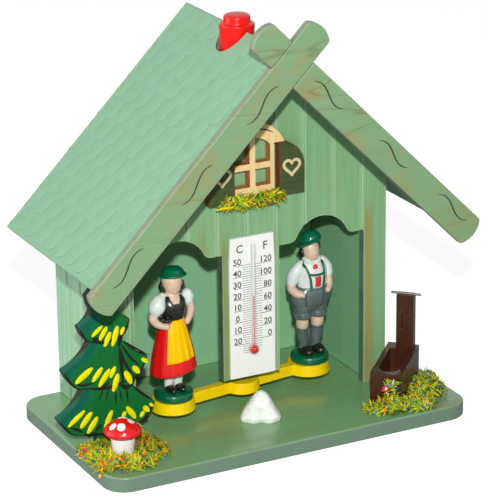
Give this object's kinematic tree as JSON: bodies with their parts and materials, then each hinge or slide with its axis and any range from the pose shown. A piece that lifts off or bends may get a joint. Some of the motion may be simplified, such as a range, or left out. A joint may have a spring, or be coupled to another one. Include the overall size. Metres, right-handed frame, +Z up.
{
  "type": "weather house",
  "caption": "Small green wooden weather house with a gabled roof; two figures hang on a gut string and swing out of arched doorways, with a thermometer between them.",
  "frame": {"origin": "centre of the base plate's flat underside", "axes": "+Z up, the front with the doorways faces -Y, +X is the man's side"},
  "size_m": [0.1492, 0.0814, 0.153],
  "materials": {
    "green_wood": "satin green stain",
    "roof_wood": "satin pale green stain",
    "plain_wood": "bare plywood",
    "dark_green_wood": "dark green stain",
    "fir_paint": "gloss green paint",
    "red_paint": "gloss red paint",
    "white_paint": "white paint",
    "red_plastic": "gloss",
    "yellow_plastic": "gloss",
    "painted_plastic": "hand painted gloss",
    "brown_plastic": "gloss",
    "white_card": "printed scale",
    "tube_glass": "clear",
    "red_spirit": "dyed spirit",
    "gut": "twisted gut",
    "dyed_flakes": "dyed dried flakes",
    "quartz": "white pebble",
    "steel": "plain wire"
  },
  "bodies": {
    "house": {"base_plate": "green_wood", "front_wall": "green_wood", "left_side_wall": "green_wood", "right_side_wall": "green_wood", "back_wall": "green_wood", "roof_left": "roof_wood", "roof_right": "roof_wood", "barge_board_left": "green_wood", "barge_board_right": "green_wood", "hanger_block": "plain_wood", "thermometer_card": "white_card", "thermometer_tube": "tube_glass", "thermometer_spirit": "red_spirit", "window_frame": "plain_wood", "left_shutter": "dark_green_wood", "right_shutter": "dark_green_wood", "window_flowers": "dyed_flakes", "fir_tree": "fir_paint", "mushroom_stem": "white_paint", "mushroom_cap": "red_paint", "mushroom_flowers": "dyed_flakes", "white_stone": "quartz", "water_trough": "brown_plastic", "well_post": "brown_plastic", "post_pin": "steel", "trough_flowers": "dyed_flakes"},
    "knob": {"chimney_knob": "red_plastic"},
    "beam": {"figure_beam": "yellow_plastic", "woman_figure": "painted_plastic", "man_figure": "painted_plastic", "gut_string": "gut"}
  },
  "joints": [
    {"name": "knob_turn", "type": "hinge", "parent": "house", "child": "knob", "pos_m": [0, 0.0024, 0.13], "axis": [0, 0, 1], "range_deg": [-15, 15]},
    {"name": "beam_swing", "type": "hinge", "parent": "knob", "child": "beam", "pos_m": [0, 0.0024, 0.0115], "axis": [0, 0, 1], "range_deg": [-38, 22], "stiffness_Nm_per_rad": 0.0004}
  ]
}
